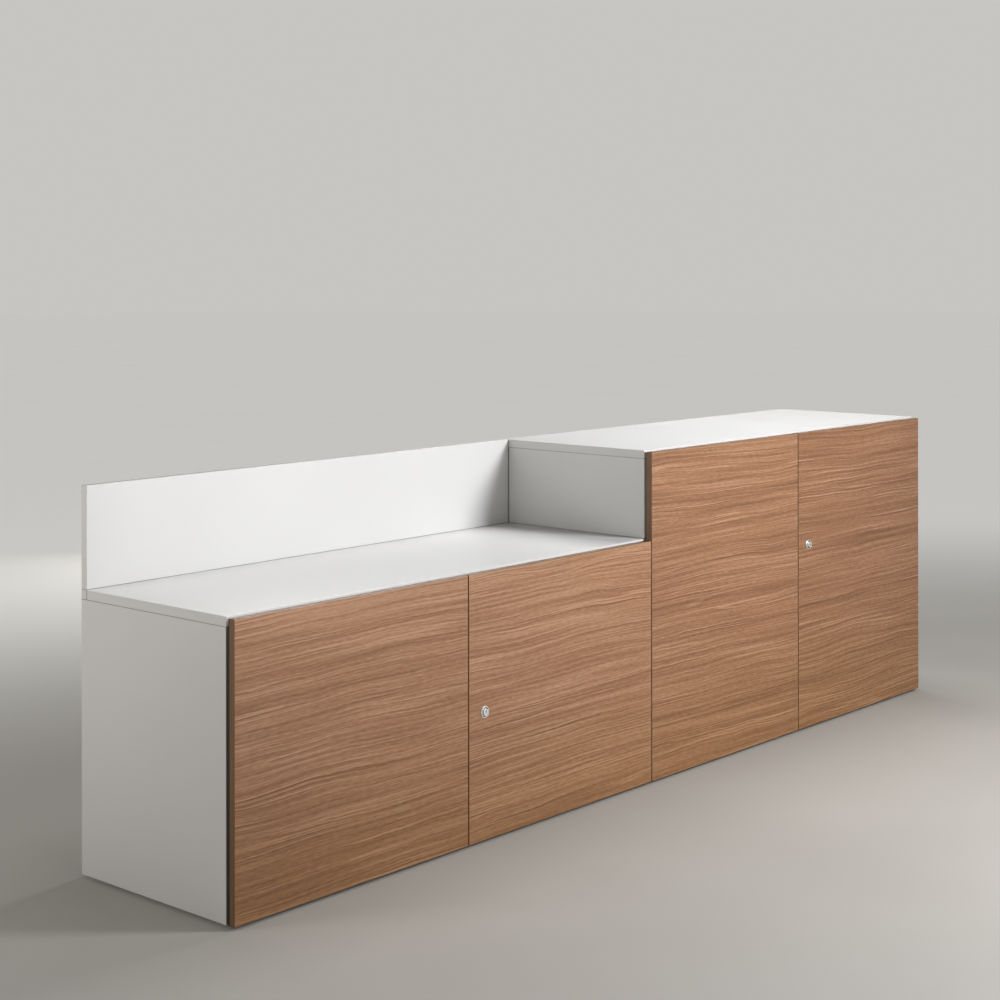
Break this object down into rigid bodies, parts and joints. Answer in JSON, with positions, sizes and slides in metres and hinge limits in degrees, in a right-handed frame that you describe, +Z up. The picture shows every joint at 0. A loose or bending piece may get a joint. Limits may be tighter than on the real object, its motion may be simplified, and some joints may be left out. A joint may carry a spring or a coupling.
{
  "type": "office sideboard cabinet",
  "caption": "Low office cabinet with a rear screen, joined to a taller unit; flush wood-decor doors on concealed hinges, with rod locks.",
  "frame": {"origin": "on the floor, under the middle of the object's box", "axes": "+X along the front from the low unit to the tall unit, +Y from the doors to the back, +Z up"},
  "size_m": [2.4, 0.435, 0.734],
  "materials": {
    "white_melamine": "matt white melamine on board",
    "wood_decor": "satin wood decor, grain along the width",
    "brown_edge": "satin dark brown edge band",
    "beech": "raw beech",
    "nickel_steel": "nickel-plated",
    "die_cast_zinc": "die-cast, plated",
    "lock_chrome": "satin chrome",
    "black_plastic": "moulded",
    "clear_rubber": "clear soft bumper"
  },
  "bodies": {
    "carcass": {"low_left_side": "white_melamine", "low_right_side": "white_melamine", "low_bottom": "white_melamine", "low_top": "white_melamine", "low_back": "white_melamine", "low_shelf": "white_melamine", "tall_left_side": "white_melamine", "tall_right_side": "white_melamine", "tall_bottom": "white_melamine", "tall_top": "white_melamine", "tall_back": "white_melamine", "tall_shelf": "white_melamine", "rear_screen": "white_melamine", "cam_bolts": "nickel_steel", "screen_screws": "nickel_steel", "module_connectors": "nickel_steel", "shelf_pins": "nickel_steel", "hinge_plates": "nickel_steel", "hinge_arms": "nickel_steel", "cam_discs": "die_cast_zinc", "wood_dowels": "beech", "leveller_feet": "black_plastic", "leveller_inserts": "black_plastic", "rod_keepers": "black_plastic", "door_bumpers": "clear_rubber"},
    "door_1": {"door_1_panel": "wood_decor", "door_1_edge_band": "brown_edge", "door_1_hinge_cups": "nickel_steel", "door_1_hinge_pins": "nickel_steel", "door_1_bolt_case": "black_plastic"},
    "bolt_1": {"door_1_bolt": "nickel_steel"},
    "door_2": {"door_2_panel": "wood_decor", "door_2_edge_band": "brown_edge", "door_2_hinge_cups": "nickel_steel", "door_2_hinge_pins": "nickel_steel", "door_2_lock_barrel": "lock_chrome", "door_2_lock_nut": "nickel_steel", "door_2_rod_guides": "black_plastic"},
    "lock_2": {"door_2_lock_plug": "lock_chrome", "door_2_lock_driver": "die_cast_zinc"},
    "upper_rod_2": {"door_2_upper_rod": "nickel_steel"},
    "lower_rod_2": {"door_2_lower_rod": "nickel_steel"},
    "door_3": {"door_3_panel": "wood_decor", "door_3_edge_band": "brown_edge", "door_3_hinge_cups": "nickel_steel", "door_3_hinge_pins": "nickel_steel", "door_3_bolt_case": "black_plastic"},
    "bolt_3": {"door_3_bolt": "nickel_steel"},
    "door_4": {"door_4_panel": "wood_decor", "door_4_edge_band": "brown_edge", "door_4_hinge_cups": "nickel_steel", "door_4_hinge_pins": "nickel_steel", "door_4_lock_barrel": "lock_chrome", "door_4_lock_nut": "nickel_steel", "door_4_rod_guides": "black_plastic"},
    "lock_4": {"door_4_lock_plug": "lock_chrome", "door_4_lock_driver": "die_cast_zinc"},
    "upper_rod_4": {"door_4_upper_rod": "nickel_steel"},
    "lower_rod_4": {"door_4_lower_rod": "nickel_steel"}
  },
  "joints": [
    {"name": "door_1_hinge", "type": "hinge", "parent": "carcass", "child": "door_1", "pos_m": [-1.1889, -0.21035, 0.27], "axis": [0, 0, -1], "range_deg": [0, 95]},
    {"name": "door_2_hinge", "type": "hinge", "parent": "carcass", "child": "door_2", "pos_m": [-0.0111, -0.21035, 0.27], "axis": [0, 0, 1], "range_deg": [0, 90]},
    {"name": "door_3_hinge", "type": "hinge", "parent": "carcass", "child": "door_3", "pos_m": [0.0111, -0.21035, 0.37], "axis": [0, 0, -1], "range_deg": [0, 90]},
    {"name": "door_4_hinge", "type": "hinge", "parent": "carcass", "child": "door_4", "pos_m": [1.1889, -0.21035, 0.37], "axis": [0, 0, 1], "range_deg": [0, 95]},
    {"name": "upper_rod_2_slide", "type": "slide", "parent": "door_2", "child": "upper_rod_2", "axis": [0, 0, 1], "range_m": [0, 0.01]},
    {"name": "lower_rod_2_slide", "type": "slide", "parent": "door_2", "child": "lower_rod_2", "axis": [0, 0, -1], "range_m": [0, 0.01]},
    {"name": "lock_2_turn", "type": "hinge", "parent": "door_2", "child": "lock_2", "pos_m": [-0.5529, -0.2075, 0.26], "axis": [0, 1, 0], "range_deg": [0, 90]},
    {"name": "lower_rod_4_slide", "type": "slide", "parent": "door_4", "child": "lower_rod_4", "axis": [0, 0, -1], "range_m": [0, 0.01]},
    {"name": "upper_rod_4_slide", "type": "slide", "parent": "door_4", "child": "upper_rod_4", "axis": [0, 0, 1], "range_m": [0, 0.01]},
    {"name": "lock_4_turn", "type": "hinge", "parent": "door_4", "child": "lock_4", "pos_m": [0.6471, -0.2075, 0.455], "axis": [0, 1, 0], "range_deg": [0, 90]},
    {"name": "bolt_1_slide", "type": "slide", "parent": "door_1", "child": "bolt_1", "axis": [0, 0, 1], "range_m": [0, 0.01]},
    {"name": "bolt_3_slide", "type": "slide", "parent": "door_3", "child": "bolt_3", "axis": [0, 0, 1], "range_m": [0, 0.01]}
  ],
  "couplings": [
    {"joint": "lower_rod_2_slide", "follows": "upper_rod_2_slide", "ratio": 1},
    {"joint": "lock_2_turn", "follows": "upper_rod_2_slide", "rad_per_m": 157.08},
    {"joint": "upper_rod_4_slide", "follows": "lower_rod_4_slide", "ratio": 1},
    {"joint": "lock_4_turn", "follows": "lower_rod_4_slide", "rad_per_m": 157.08}
  ]
}
